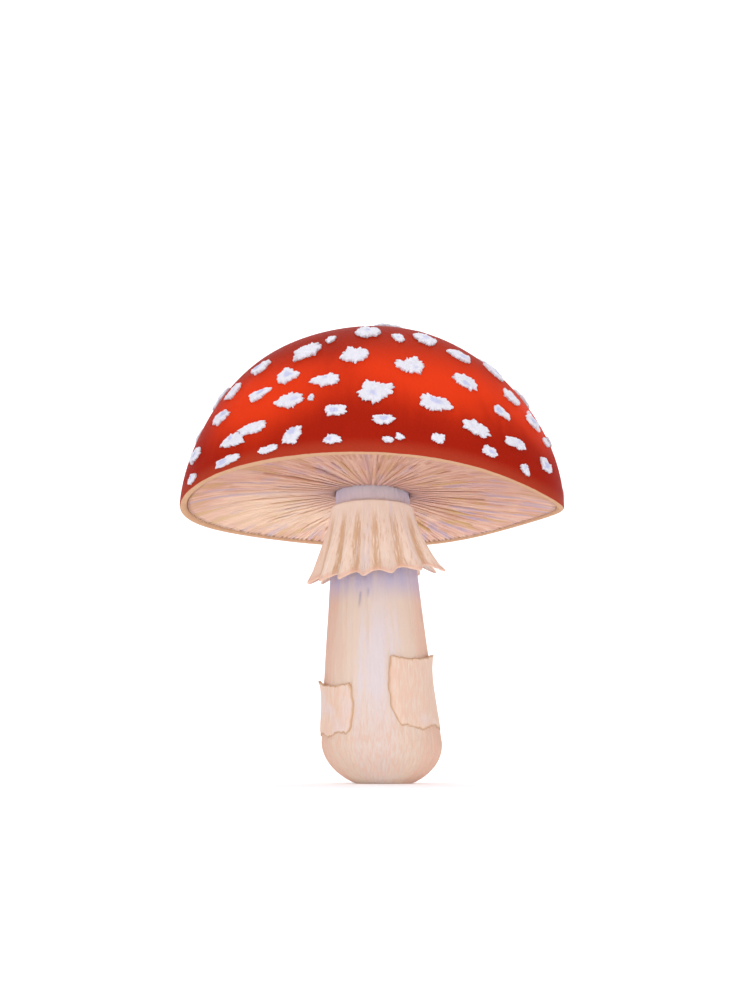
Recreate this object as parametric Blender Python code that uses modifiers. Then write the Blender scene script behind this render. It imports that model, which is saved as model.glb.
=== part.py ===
"""Fly agaric mushroom, picked, standing on its foot.

Metres, +Z up, front towards -Y. The origin is the middle of the flat spot under the foot.
"""

import math
import random

import bmesh
import bpy
import numpy as np

MM = 0.001
GAP = 0.3 * MM  # left between pieces that touch

# Cap: half an ellipsoid with a rolled lip, in its own frame, whose origin is the middle of its widest circle
CAP_RADIUS = 60.8 * MM
CAP_RISE = 55.6 * MM
CAP_HEIGHT = 86.4 * MM  # of the widest circle above the ground
CAP_TILT = math.radians(1.3)  # right side down
SHOULDER = 0.8 * MM  # how far the left shoulder swells
LIP = 1.2 * MM  # radius of the rolled lip
FLESH_RADIUS = CAP_RADIUS - 2 * LIP - 0.4 * MM  # where the flesh under the lip begins
DOME_STEPS = 12
CAP_SIDES = 48

# Waves of the cap's margin: the turn of each one's middle, its half breadth, and its height, less than zero
# where the margin hangs
MARGIN_WAVES = [
    (math.radians(-85), math.radians(45), -4.0 * MM),
    (math.radians(58), math.radians(32), -4.0 * MM),
    (math.radians(118), math.radians(32), 2.8 * MM),
]

# Gills: a thin plate under the flesh, with long blades and short ones between them
GILL_PAIRS = 48
GILL_DEPTH = 13 * MM
GILL_EDGE_RISE = 3.8 * MM  # of the gill edges from the lip to the stem
GILL_THICKNESS = 0.8 * MM
GILL_PLATE = 1.0 * MM
GILL_OUTER = FLESH_RADIUS - GAP
GILL_INNER = 12.2 * MM
GILL_RADII = [GILL_OUTER + (GILL_INNER - GILL_OUTER) * share for share in (0.0, 0.19, 0.52, 1.0)]
SHORT_GILL_REACH = 0.3  # of the way from the lip to the stem

# Stem: a tapered club with a rounded foot, leaning to the left as it rises
STEM_TOP_RADIUS = 11.0 * MM
FOOT_RADIUS = 18.3 * MM
FOOT_BULGE = 12 * MM  # height of the widest part of the foot
FOOT_FLAT_RADIUS = 8.5 * MM
STEM_TAPER = 1.25
STEM_LEAN = -3.6 * MM  # sideways, by the height of the cap's widest circle
STEM_BOW = -0.6 * MM  # sideways, half way up to there
STEM_SIDES = 44

# Ring: the pleated skirt below the gills
RING_TOP = 84.5 * MM
RING_HEM = 64.0 * MM
RING_FLARE = 4.2 * MM  # how far the hem stands off the stem
RING_LEAN = 1.6 * MM  # how much further it stands off at the right
RING_THICKNESS = 1.0 * MM
PLEATS = 15
PLEAT_TURN = math.radians(-6)  # of one outer fold
PLEAT_DEPTH = 1.7 * MM
HEM_WAVE = 1.0 * MM
HEM_FRONT = 3.0 * MM  # how much lower the hem hangs in front
HEM_LEFT = 2.1 * MM  # how much lower it hangs at the left
SIDES_PER_PLEAT = 6
RING_ROWS = 5

# Warts seen from the front: turn round the cap, angle down from the crown, breadth, length, and the way
# that a tail points, anticlockwise from the right, or None. Degrees and millimetres.
FRONT_WARTS = [
    (-3, 42, 7.0, 9.0, None),
    (-17, 46, 2.8, 4.0, None),
    (9, 46, 3.2, 5.0, 135),
    (20, 44, 6.5, 8.0, None),
    (-24, 52, 7.5, 8.5, None),
    (-6, 57, 7.5, 6.5, 120),
    (32, 50, 7.5, 5.5, None),
    (11, 61, 7.5, 6.0, 64),
    (-43, 54, 6.5, 6.0, None),
    (50, 50, 7.5, 6.5, None),
    (-27, 63, 6.5, 5.5, 110),
    (-13, 67, 6.5, 4.5, 170),
    (28, 63, 6.5, 5.5, -20),
    (-52, 61, 7.0, 5.5, None),
    (0, 72, 8.3, 7.0, 12),
    (-17, 73, 1.8, 2.2, None),
    (-36, 68, 5.8, 4.0, 20),
    (49, 61, 7.5, 4.5, -30),
    (-23, 73, 7.2, 5.0, 180),
    (16, 74, 8.0, 5.0, 5),
    (-10, 78, 5.2, 3.6, -16),
    (39, 70, 5.0, 3.4, -30),
    (-51, 71, 8.0, 4.4, None),
    (3, 81, 5.4, 2.9, 180),
    (58, 67, 7.5, 5.0, 90),
    (28, 79, 7.6, 4.2, -35),
    (-33, 80, 8.2, 3.5, 190),
    (-21, 85, 5.5, 4.5, 45),
    (-10, 87, 4.5, 2.8, None),
    (17, 85, 4.2, 2.8, None),
    (4, 87, 3.0, 1.8, None),
    (7, 86, 2.4, 1.8, 120),
    (-41, 82, 8.0, 3.8, -10),
    (43, 79, 7.0, 3.2, 190),
    (64, 72, 5.5, 2.6, None),
    (-28, 88, 5.5, 2.0, 20),
    (32, 85, 5.6, 2.9, None),
    (-62, 80, 8.5, 4.4, None),
    (-41, 88, 8.2, 2.5, 190),
    (57, 81, 7.0, 4.0, -20),
    (45, 86, 3.6, 3.0, -50),
    (-60, 88, 6.5, 2.7, None),
]
MORE_WARTS = 52  # on the crown, the sides and the back
FRONT_EYE = np.array([0.0, -320.0, -81.0]) * MM  # where the front is seen from, in the cap's frame
WART_SEED = 7
WART_TRIES = 40
BEYOND_VIEW = 0.12  # least cosine by which a wart out of sight faces away from FRONT_EYE
WART_SIDES = 9
WART_SINK = 1.5 * MM
WART_HEIGHT = 0.4 * MM  # of the smallest
WART_RISE = 0.07  # added height for each unit of its mean width

# Flaps of the torn veil on the foot: turn round the stem and half breadth in degrees, bottom and top in
# millimetres, and the side whose upper corner curls away, -1 for the left
FLAPS = [
    (-57, 31, 14, 28, -1),
    (47, 37, 16, 36, 1),
    (148, 30, 12, 31, 1),
    (-148, 26, 19, 38, -1),
]
FLAP_STANDS_OFF = 0.5 * MM
FLAP_THICKNESS = 1.5 * MM
FLAP_CURL = 1.2 * MM
FLAP_CORNER = 1.6 * MM  # how far the curled corner stands above the middle of the top edge
FLAP_RAGS = 0.6 * MM


def remove_everything():
    for obj in list(bpy.data.objects):
        bpy.data.objects.remove(obj, do_unlink=True)


def new_collection(name):
    collection = bpy.data.collections.new(name)
    bpy.context.scene.collection.children.link(collection)
    return collection


def new_material(name, colour, roughness):
    material = bpy.data.materials.new(name)
    material.use_nodes = True
    shader = material.node_tree.nodes["Principled BSDF"]
    shader.inputs["Base Color"].default_value = (*colour, 1.0)
    shader.inputs["Roughness"].default_value = roughness
    shader.inputs["Metallic"].default_value = 0.0
    return material


def baked(obj, material):
    """The object with its modifiers applied, smooth, in its material."""
    graph = bpy.context.evaluated_depsgraph_get()
    mesh = bpy.data.meshes.new_from_object(obj.evaluated_get(graph))
    obj.modifiers.clear()
    obj.data = mesh
    mesh.materials.clear()
    mesh.materials.append(material)
    mesh.shade_smooth()
    mesh.set_sharp_from_angle(angle=math.radians(35))
    return obj


def turned(name, profile, steps, collection, closed=False):
    """A profile of (radius, height) points turned round Z. It runs down its outer side."""
    count = len(profile)
    edges = [(i, (i + 1) % count) for i in range(count if closed else count - 1)]
    mesh = bpy.data.meshes.new(name)
    mesh.from_pydata([(r, 0.0, z) for r, z in profile], edges, [])
    obj = bpy.data.objects.new(name, mesh)
    collection.objects.link(obj)
    screw = obj.modifiers.new("Turn", "SCREW")
    screw.steps = steps
    screw.render_steps = steps
    screw.use_merge_vertices = True
    screw.merge_threshold = 0.01 * MM
    return obj


def vertices_of(obj):
    points = np.empty(len(obj.data.vertices) * 3)
    obj.data.vertices.foreach_get("co", points)
    return points.reshape(-1, 3)


def move_vertices(obj, points):
    obj.data.vertices.foreach_set("co", np.ascontiguousarray(points).ravel())
    obj.data.update()


def join_all(obj, pieces, material):
    """One Boolean union of the object with every piece in the collection, applied."""
    union = obj.modifiers.new("Join", "BOOLEAN")
    union.operation = "UNION"
    union.operand_type = "COLLECTION"
    union.collection = pieces
    baked(obj, material)
    for piece in list(pieces.objects):
        bpy.data.objects.remove(piece, do_unlink=True)
    bpy.data.collections.remove(pieces)


def dome_point(turn, down, lift=0.0):
    """Points on the cap. Turn is measured from the front, and down from the crown, in radians.

    The half ellipsoid swells on its left shoulder and sinks below it, with three faint lobes round it.
    """
    turn, down, lift = np.broadcast_arrays(turn, down, lift)
    out, up = np.sin(down), np.cos(down)
    left = (1 - np.sin(turn)) / 2
    swell = left * np.sin(4 * (down - math.radians(12))) + 0.4 * np.sin(3 * turn + 0.5)
    lift = lift + SHOULDER * swell * np.sin(2 * down)
    slope = np.hypot(out / CAP_RADIUS, up / CAP_RISE)
    radius = CAP_RADIUS * out + lift * out / CAP_RADIUS / slope
    height = CAP_RISE * up + lift * up / CAP_RISE / slope
    return np.stack([radius * np.sin(turn), -radius * np.cos(turn), height], axis=-1)


def waved(points):
    """Points of the cap or the gills, moved up or down with the waves of the margin."""
    turn = np.arctan2(points[:, 0], -points[:, 1])
    moved = points.copy()
    for middle, half_breadth, height in MARGIN_WAVES:
        away = np.angle(np.exp(1j * (turn - middle))) / half_breadth
        moved[:, 2] += height * np.exp(-(away**2)) * (np.hypot(points[:, 0], points[:, 1]) / CAP_RADIUS) ** 4
    return moved


def dome_frame(turn, down):
    """The middle of a wart, and the unit vectors to its right, towards the crown, and out of the cap."""
    middle = dome_point(turn, down)
    right = np.array([math.cos(turn), math.sin(turn), 0.0])
    out = middle / np.array([CAP_RADIUS, CAP_RADIUS, CAP_RISE]) ** 2
    out = out / np.linalg.norm(out)
    return middle, right, np.cross(out, right), out


def wrapped_on_dome(turn, down, across, along, lift):
    """Flat points round a place on the cap, wrapped onto it and lifted off it."""
    middle, right, to_crown, _ = dome_frame(turn, down)
    flat = middle + across[:, None] * right + along[:, None] * to_crown
    unit = flat / np.array([CAP_RADIUS, CAP_RADIUS, CAP_RISE])
    downs = np.arctan2(np.hypot(unit[:, 0], unit[:, 1]), unit[:, 2])
    turns = np.arctan2(unit[:, 0], -unit[:, 1])
    return dome_point(turns, downs, lift)


def wart_outline(angle, breadth, length, tail, draw):
    """Radius of a wart's torn outline: an ellipse with waves round it and a tail on one side."""
    ellipse = 1 / np.hypot(np.cos(angle) / (breadth / 2), np.sin(angle) / (length / 2))
    waves = sum(
        draw.uniform(0.02, 0.09) * np.cos(k * angle + draw.uniform(0, math.tau)) for k in (2, 3, 4, 5)
    )
    radius = ellipse * (1 + waves)
    if tail is not None:
        away = np.angle(np.exp(1j * (angle - math.radians(tail))))
        radius = radius * (1 + 0.45 * np.exp(-((away / 0.42) ** 2)))
    return radius


def hidden_warts(draw):
    """Warts where the front view doesn't reach, each in the widest gap that several tries find."""
    placed = [dome_frame(math.radians(wart[0]), math.radians(wart[1]))[0] for wart in FRONT_WARTS]
    found = []
    while len(found) < MORE_WARTS:
        best = None
        for _ in range(WART_TRIES):
            turn = draw.uniform(-math.pi, math.pi)
            down = math.acos(draw.uniform(0.04, 1.0))
            middle, _, _, out = dome_frame(turn, down)
            room = min(np.linalg.norm(middle - other) for other in placed)
            toward = FRONT_EYE - middle
            unseen = np.dot(out, toward) < -BEYOND_VIEW * np.linalg.norm(toward)
            if unseen and (best is None or room > best[0]):
                best = (room, turn, down, middle)
        _, turn, down, middle = best
        placed.append(middle)
        breadth = draw.uniform(6.5, 10.5) * (1 - 0.3 * math.sin(down) ** 4)
        length = breadth * draw.uniform(0.7, 1.0) * (1 - 0.35 * math.sin(down) ** 6)
        tail = draw.choice([None, draw.uniform(-180, 180)])
        found.append((math.degrees(turn), math.degrees(down), breadth, length, tail))
    return found


def make_wart(index, wart, draw, collection):
    turn, down, breadth, length, tail = wart
    breadth, length = breadth * MM, length * MM
    height = WART_HEIGHT + WART_RISE * math.sqrt(breadth * length)
    bm = bmesh.new()
    bmesh.ops.create_cone(
        bm, cap_ends=True, cap_tris=True, segments=WART_SIDES, radius1=1.0, radius2=0.8, depth=1.0
    )
    points = np.array([v.co for v in bm.verts])
    angle = np.arctan2(points[:, 1], points[:, 0])
    share = np.hypot(points[:, 0], points[:, 1])
    radius = share * wart_outline(angle, breadth, length, tail, draw)
    top = points[:, 2] > 0
    lift = np.where(top, height * (1.25 - 0.3 * share), -WART_SINK)
    placed = wrapped_on_dome(
        math.radians(turn), math.radians(down), radius * np.cos(angle), radius * np.sin(angle), lift
    )
    for vertex, point in zip(bm.verts, waved(placed)):
        vertex.co = point
    mesh = bpy.data.meshes.new(f"wart_{index:02d}")
    bm.to_mesh(mesh)
    bm.free()
    collection.objects.link(bpy.data.objects.new(mesh.name, mesh))


def gill_edge(radius):
    """Height of the gill edges in the cap's frame: nearly level, rising to the stem."""
    return 0.3 * MM + GILL_EDGE_RISE * (1 - radius / FLESH_RADIUS) ** 1.2


def gill_depth(radius):
    """Depth of a long gill: full near the stem, thinning out to the lip."""
    return 0.5 * MM + GILL_DEPTH * (1 - (radius / FLESH_RADIUS) ** 4) ** 0.8


def plate_bottom(radius):
    return gill_edge(radius) + gill_depth(radius)


def make_cap(collection, red):
    """The dome, its lip and the flesh under it, with every wart joined on."""
    dome = [
        (CAP_RADIUS * math.sin(a), CAP_RISE * math.cos(a))
        for a in np.linspace(0, math.pi / 2, DOME_STEPS + 1)
    ]
    lip = [
        (CAP_RADIUS - LIP + LIP * math.cos(a), -LIP * math.sin(a))
        for a in np.radians([45, 90, 135, 180])
    ]
    flesh_heights = [plate_bottom(r) + GILL_PLATE + GAP for r in GILL_RADII]
    flesh = list(zip([FLESH_RADIUS, *GILL_RADII[1:], 0.0], [*flesh_heights, flesh_heights[-1]]))
    profile = dome + lip + flesh
    cap = baked(turned("cap", profile, CAP_SIDES, collection), red)
    points = vertices_of(cap)
    out = np.hypot(points[:, 0], points[:, 1]) / CAP_RADIUS
    up = points[:, 2] / CAP_RISE
    on_dome = (np.hypot(out, up) > 0.999) & (up > 0)
    turn = np.arctan2(points[:, 0], -points[:, 1])
    points[on_dome] = dome_point(turn, np.arctan2(out, up))[on_dome]
    move_vertices(cap, waved(points))

    draw = random.Random(WART_SEED)
    warts = new_collection("warts")
    for index, wart in enumerate(FRONT_WARTS + hidden_warts(draw)):
        make_wart(index, wart, draw, warts)
    join_all(cap, warts, red)
    return cap


def make_gills(collection, peach):
    """A turned plate whose underside is drawn down into blades, with three columns of vertices to a blade:
    its two edges, and the valley beside it."""
    bottom = [(r, plate_bottom(r)) for r in GILL_RADII]
    top = [(r, plate_bottom(r) + GILL_PLATE) for r in GILL_RADII[::-1]]
    blades = 2 * GILL_PAIRS
    columns = 3 * blades
    gills = baked(turned("gills", bottom + top, columns, collection, closed=True), peach)
    points = vertices_of(gills)
    radius = np.hypot(points[:, 0], points[:, 1])
    column = np.rint(np.arctan2(points[:, 1], points[:, 0]) / math.tau * columns).astype(int) % columns
    blade, place = column // 3, column % 3
    is_long = blade % 2 == 0
    share = (GILL_OUTER - radius) / (GILL_OUTER - GILL_INNER)
    is_below = points[:, 2] < plate_bottom(radius) + GILL_PLATE / 2
    is_edge = is_below & (place < 2) & (is_long | (share < SHORT_GILL_REACH))
    half_turn = GILL_THICKNESS / 2 / radius
    angle = np.where(
        is_edge,
        (blade + 1 / 6) * math.tau / blades + np.where(place == 0, -half_turn, half_turn),
        column * math.tau / columns,
    )
    points[:, 0] = radius * np.cos(angle)
    points[:, 1] = radius * np.sin(angle)
    points[is_edge, 2] = gill_edge(radius[is_edge])
    move_vertices(gills, waved(points))
    return gills


def stem_radius(height):
    """Radius of the stem: a rounded foot, then a taper up to the cap."""
    foot_curve = FOOT_BULGE / math.sqrt(1 - (FOOT_FLAT_RADIUS / FOOT_RADIUS) ** 2)
    if height < FOOT_BULGE:
        return FOOT_RADIUS * math.sqrt(1 - ((FOOT_BULGE - height) / foot_curve) ** 2)
    share = (stem_top() - height) / (stem_top() - FOOT_BULGE)
    return STEM_TOP_RADIUS + (FOOT_RADIUS - STEM_TOP_RADIUS) * share**STEM_TAPER


def stem_top():
    flesh = CAP_HEIGHT + plate_bottom(GILL_INNER) + GILL_PLATE + GAP
    return flesh - 2 * GAP


def leaned(points):
    """Points round the stem's upright axis, moved sideways onto the leaning one."""
    moved = points.copy()
    share = points[:, 2] / CAP_HEIGHT
    moved[:, 0] += STEM_LEAN * share + STEM_BOW * np.sin(math.pi * share)
    return moved


def make_flap(index, flap, collection):
    """A torn scale of veil that lies on the foot. One upper corner curls away, the lower edge is ragged, and
    the corners on the other side are cut off round."""
    turn, half_breadth, low, high, side = flap
    bm = bmesh.new()
    bmesh.ops.create_grid(bm, x_segments=6, y_segments=5, size=1.0)
    points = np.array([v.co for v in bm.verts])
    across, along = points[:, 0], (points[:, 1] + 1) / 2
    outward = (1 + side * across) / 2
    rags = FLAP_RAGS * np.cos(5 * across + index) * (1 - along) ** 2
    corner = FLAP_CORNER * (2 * outward**2 - 0.5 + (1 - outward) ** 3) * along
    height = (low + (high - low) * along) * MM - rags + corner
    cut = 1 - (0.24 * (1 - along) ** 6 + 0.14 * along**7) * (1 - outward)
    angle = np.radians(turn + half_breadth * across * cut)
    off = FLAP_STANDS_OFF + FLAP_CURL * along**5 * (0.15 + outward**3)
    radius = np.array([stem_radius(z) for z in height]) + off
    placed = leaned(np.stack([radius * np.sin(angle), -radius * np.cos(angle), height], axis=-1))
    for vertex, point in zip(bm.verts, placed):
        vertex.co = point
    mesh = bpy.data.meshes.new(f"flap_{index}")
    bm.to_mesh(mesh)
    bm.free()
    obj = bpy.data.objects.new(mesh.name, mesh)
    collection.objects.link(obj)
    solid = obj.modifiers.new("Thickness", "SOLIDIFY")
    solid.thickness = FLAP_THICKNESS
    solid.offset = -1.0


def make_stem(collection, ivory):
    heights = [
        *np.linspace(0, FOOT_BULGE, 6),
        *np.linspace(FOOT_BULGE, stem_top(), 9)[1:],
    ]
    profile = [(0.0, stem_top())] + [(stem_radius(z), z) for z in heights[::-1]] + [(0.0, 0.0)]
    stem = baked(turned("stem", profile, STEM_SIDES, collection), ivory)
    move_vertices(stem, leaned(vertices_of(stem)))
    flaps = new_collection("flaps")
    for index, flap in enumerate(FLAPS):
        make_flap(index, flap, flaps)
    join_all(stem, flaps, ivory)
    return stem


def make_ring(collection, cream):
    """A flared skirt round the stem. Its pleats deepen towards the hem, which waves with them."""
    shares = np.linspace(0, 1, RING_ROWS + 1)
    heights = RING_TOP + (RING_HEM - RING_TOP) * shares
    profile = [
        (stem_radius(height) + GAP + RING_THICKNESS + RING_FLARE * share**1.7, height)
        for share, height in zip(shares, heights)
    ]
    ring = baked(turned("ring", profile, PLEATS * SIDES_PER_PLEAT, collection), cream)
    points = vertices_of(ring)
    share = (RING_TOP - points[:, 2]) / (RING_TOP - RING_HEM)
    turn = np.arctan2(points[:, 0], -points[:, 1])
    fold = np.cos(PLEATS * (turn - PLEAT_TURN))
    lean = RING_LEAN * share * (1 + np.sin(turn)) / 2
    radius = np.hypot(points[:, 0], points[:, 1]) + lean + PLEAT_DEPTH * fold * share**1.5
    points[:, 0] = radius * np.sin(turn)
    points[:, 1] = -radius * np.cos(turn)
    points[:, 2] -= share**3 * (HEM_WAVE * fold + HEM_FRONT * np.cos(turn) - HEM_LEFT * np.sin(turn))
    move_vertices(ring, leaned(points))
    wall = ring.modifiers.new("Thickness", "SOLIDIFY")
    wall.thickness = RING_THICKNESS
    wall.offset = -1.0
    return ring


def main():
    remove_everything()
    mushroom = new_collection("fly_agaric")
    red = new_material("cap_skin", (0.56, 0.04, 0.015), 0.35)
    peach = new_material("gill_flesh", (0.78, 0.55, 0.38), 0.7)
    ivory = new_material("stem_flesh", (0.80, 0.64, 0.52), 0.7)
    cream = new_material("ring_veil", (0.82, 0.69, 0.56), 0.6)

    cap_frame = bpy.data.objects.new("cap_frame", None)
    mushroom.objects.link(cap_frame)
    cap_frame.location = (STEM_LEAN, 0.0, CAP_HEIGHT)
    cap_frame.rotation_euler = (0.0, CAP_TILT, 0.0)
    make_cap(mushroom, red).parent = cap_frame
    make_gills(mushroom, peach).parent = cap_frame
    make_stem(mushroom, ivory)
    make_ring(mushroom, cream)


main()
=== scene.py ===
"""The finish of a fly agaric mushroom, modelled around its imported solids.

Metres, +Z up, front towards -Y, the origin under the middle of the foot. A turn is an angle round an upright
axis, 0 at the front and growing to the right. Every round surface is a grid of points whose rows run down its
outer side and whose columns run to the right.
"""

import math
import random

import bpy
import numpy as np
from bpy.props import FloatProperty, FloatVectorProperty, IntProperty, PointerProperty
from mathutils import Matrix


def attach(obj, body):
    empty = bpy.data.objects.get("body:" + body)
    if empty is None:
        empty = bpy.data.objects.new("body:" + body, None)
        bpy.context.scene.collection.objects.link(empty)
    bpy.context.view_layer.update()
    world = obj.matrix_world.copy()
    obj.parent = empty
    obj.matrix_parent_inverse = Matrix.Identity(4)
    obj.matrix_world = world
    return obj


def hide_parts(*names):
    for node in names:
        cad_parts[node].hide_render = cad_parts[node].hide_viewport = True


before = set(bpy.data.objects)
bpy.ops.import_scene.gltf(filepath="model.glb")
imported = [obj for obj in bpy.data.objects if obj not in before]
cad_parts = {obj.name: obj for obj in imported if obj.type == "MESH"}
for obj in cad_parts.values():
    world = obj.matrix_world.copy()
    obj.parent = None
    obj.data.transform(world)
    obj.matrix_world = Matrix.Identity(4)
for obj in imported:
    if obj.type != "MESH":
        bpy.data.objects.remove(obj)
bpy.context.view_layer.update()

bl_info = {
    "name": "Fly agaric mushroom",
    "version": (1, 0, 0),
    "blender": (4, 5, 0),
    "location": "3D View > Sidebar > Mushroom",
    "description": "Builds a picked fly agaric with its warts, gills, ring and torn veil",
    "category": "Add Mesh",
}

MM = 0.001
CLEARANCE = 0.3 * MM  # between neighbouring pieces, as between the solids

# Warts seen from the front: turn round the cap, angle down from the crown, breadth, length, and the way
# that a tail points, anticlockwise from the right, or None. Degrees and millimetres.
FRONT_WARTS = [
    (-3, 42, 7.0, 9.0, None),
    (-17, 46, 2.8, 4.0, None),
    (9, 46, 3.2, 5.0, 135),
    (20, 44, 6.5, 8.0, None),
    (-24, 52, 7.5, 8.5, None),
    (-6, 57, 7.5, 6.5, 120),
    (32, 50, 7.5, 5.5, None),
    (11, 61, 7.5, 6.0, 64),
    (-43, 54, 6.5, 6.0, None),
    (50, 50, 7.5, 6.5, None),
    (-27, 63, 6.5, 5.5, 110),
    (-13, 67, 6.5, 4.5, 170),
    (28, 63, 6.5, 5.5, -20),
    (-52, 61, 7.0, 5.5, None),
    (0, 72, 8.3, 7.0, 12),
    (-17, 73, 1.8, 2.2, None),
    (-36, 68, 5.8, 4.0, 20),
    (49, 61, 7.5, 4.5, -30),
    (-23, 73, 7.2, 5.0, 180),
    (16, 74, 8.0, 5.0, 5),
    (-10, 78, 5.2, 3.6, -16),
    (39, 70, 5.0, 3.4, -30),
    (-51, 71, 8.0, 4.4, None),
    (3, 81, 5.4, 2.9, 180),
    (58, 67, 7.5, 5.0, 90),
    (28, 79, 7.6, 4.2, -35),
    (-33, 80, 8.2, 3.5, 190),
    (-21, 85, 5.5, 4.5, 45),
    (-10, 87, 4.5, 2.8, None),
    (17, 85, 4.2, 2.8, None),
    (4, 87, 3.0, 1.8, None),
    (7, 86, 2.4, 1.8, 120),
    (-41, 82, 8.0, 3.8, -10),
    (43, 79, 7.0, 3.2, 190),
    (64, 72, 5.5, 2.6, None),
    (-28, 88, 5.5, 2.0, 20),
    (32, 85, 5.6, 2.9, None),
    (-62, 80, 8.5, 4.4, None),
    (-41, 88, 8.2, 2.5, 190),
    (57, 81, 7.0, 4.0, -20),
    (45, 86, 3.6, 3.0, -50),
    (-60, 88, 6.5, 2.7, None),
]
FRONT_EYE = np.array([0.0, -320.0, -81.0]) * MM  # where the front is seen from, in the cap's frame
WART_TRIES = 40  # places tried for each wart out of sight
MORE_BREADTHS = (6.5, 10.5)  # least and most of a wart out of sight, in millimetres
BEYOND_VIEW = 0.12  # least cosine by which a wart out of sight faces away from FRONT_EYE

# Waves of the cap's margin: the turn of each one's middle and its half breadth in degrees, and its height in
# millimetres, less than zero where the margin hangs
MARGIN_WAVES = [(-85, 45, -4.0), (58, 32, -4.0), (118, 32, 2.8)]

# Middle of the painted highlight on the gills, and the middle of the skin's front, round which the cap's
# painted highlight is strongest, in metres
GILL_PAINTED_HIGHLIGHT = (-0.030, 0.016, 0.088)
CAP_FRONT = (0.0, -0.060, 0.105)

# Painted highlights on the skin of the front: the middle of each and how far it reaches, in metres
CAP_PAINTED_HIGHLIGHTS = [
    ((-0.036, -0.046, 0.104), 0.030),
    ((0.016, -0.046, 0.114), 0.034),
    ((0.045, -0.028, 0.108), 0.022),
]

# How far the kinds of blade reach on the way from the lip to the stem, in their order round the cap
BLADE_REACHES = (1.4, 0.30, 0.58, 0.30)
PLATE_THICKNESS = 0.7 * MM  # of the flesh that the gills hang from
CAP_UNDERSIDE = 1.6 * MM  # of the cap's own flesh, above the bottom of that plate

# Flaps of the torn veil on the foot: name, turn round the stem and half breadth in degrees, bottom and top in
# millimetres, and the side whose upper corner curls away, -1 for the left
FLAPS = [
    ("front_left", -57, 31, 14, 28, -1),
    ("front_right", 47, 37, 16, 36, 1),
    ("back_right", 148, 30, 12, 31, 1),
    ("back_left", -148, 26, 19, 38, -1),
]

# Short splits in the stem below the ring: turn in degrees, bottom and top in millimetres
SPLITS = [(-20, 50.5, 56.5), (-9, 53.5, 57.5), (74, 47.0, 54.0), (141, 50.0, 57.0), (-128, 46.0, 55.0)]
SPLIT_TWIST = 8  # how far a split winds round the stem, in radians per metre

# Square lights: name, watts, width, place, what it points at, and colour
MIDDLE = (0.0, 0.0, 0.09)
LIGHTS = [
    ("key", 3.35, 0.5, (-0.35, -0.70, 0.85), MIDDLE, (1.0, 0.97, 0.94)),
    ("fill", 1.2, 0.6, (0.7, -0.7, 0.4), MIDDLE, (1.0, 0.95, 0.92)),
    ("low_front", 1.8, 0.5, (0.0, -0.75, 0.06), MIDDLE, (1.0, 0.94, 0.90)),
    ("back_wall", 12.0, 1.2, (0.0, 0.45, 1.3), (0.0, 1.1, 0.3), (1.0, 1.0, 1.0)),
]
SWEEP_REACH = 6.0  # of the floor, to the front and to each side
SWEEP_BACK = 0.6  # where the floor starts to bend up
SWEEP_BEND = 0.5  # radius of that bend
SWEEP_TOP = 2.2  # height of the wall
SWEEP_DROP = 0.05 * MM  # from the foot down to the floor


def length(name, description, default):
    return FloatProperty(name=name, description=description, default=default, unit="LENGTH", precision=4)


def angle(name, description, default):
    return FloatProperty(name=name, description=description, default=math.radians(default), unit="ROTATION")


def colour(name, description, default):
    return FloatVectorProperty(
        name=name, description=description, default=default, subtype="COLOR", size=3, min=0.0, max=1.0
    )


class CapSettings(bpy.types.PropertyGroup):
    """Size and colours of the cap."""

    radius: length("Radius", "Half the width of the cap", 60.8 * MM)
    rise: length("Rise", "From the widest circle up to the crown", 55.6 * MM)
    height: length("Height", "From the ground to the widest circle", 86.4 * MM)
    tilt: angle("Tilt", "How far the right side hangs down", 1.3)
    shoulder: length("Shoulder", "How far the left shoulder swells", 0.8 * MM)
    lip: length("Lip", "Radius of the rolled lip", 1.2 * MM)
    # Bright skin is the colour of the painted highlight on the cap's skin
    bright: colour("Bright skin", "Where the skin is stretched and light", (0.69, 0.041, 0.009))
    # Deep skin is painted shade towards the margin, the crown and the back, and the crown colour is a darker
    # painted shade round the crown
    painted_shade: colour("Deep skin", "Towards the margin and the crown", (0.33, 0.014, 0.005))
    crown: colour("Crown", "Of the skin round the crown", (0.24, 0.016, 0.006))
    margin: colour("Margin", "Of the skin next to the lip", (0.44, 0.085, 0.040))
    flesh: colour("Lip flesh", "The pale underside of the lip", (0.64, 0.39, 0.24))


class WartSettings(bpy.types.PropertyGroup):
    """The torn scraps of veil on the cap."""

    more: IntProperty(name="More warts", description="Placed where the front doesn't show", default=52, min=0)
    seed: IntProperty(name="Seed", description="Changes the warts that are placed by a rule", default=7)
    sink: length("Sink", "How far the roots go into the skin", 0.6 * MM)
    crumb: length("Crumb", "How rough the tops are", 0.16 * MM)
    white: colour("White", "Of the dry outer crumbs", (0.74, 0.74, 0.80))
    # Shade is the colour of painted shade in a hollow patch on each wart
    shade: colour("Shade", "Of the hollows between them", (0.54, 0.56, 0.76))


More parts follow.
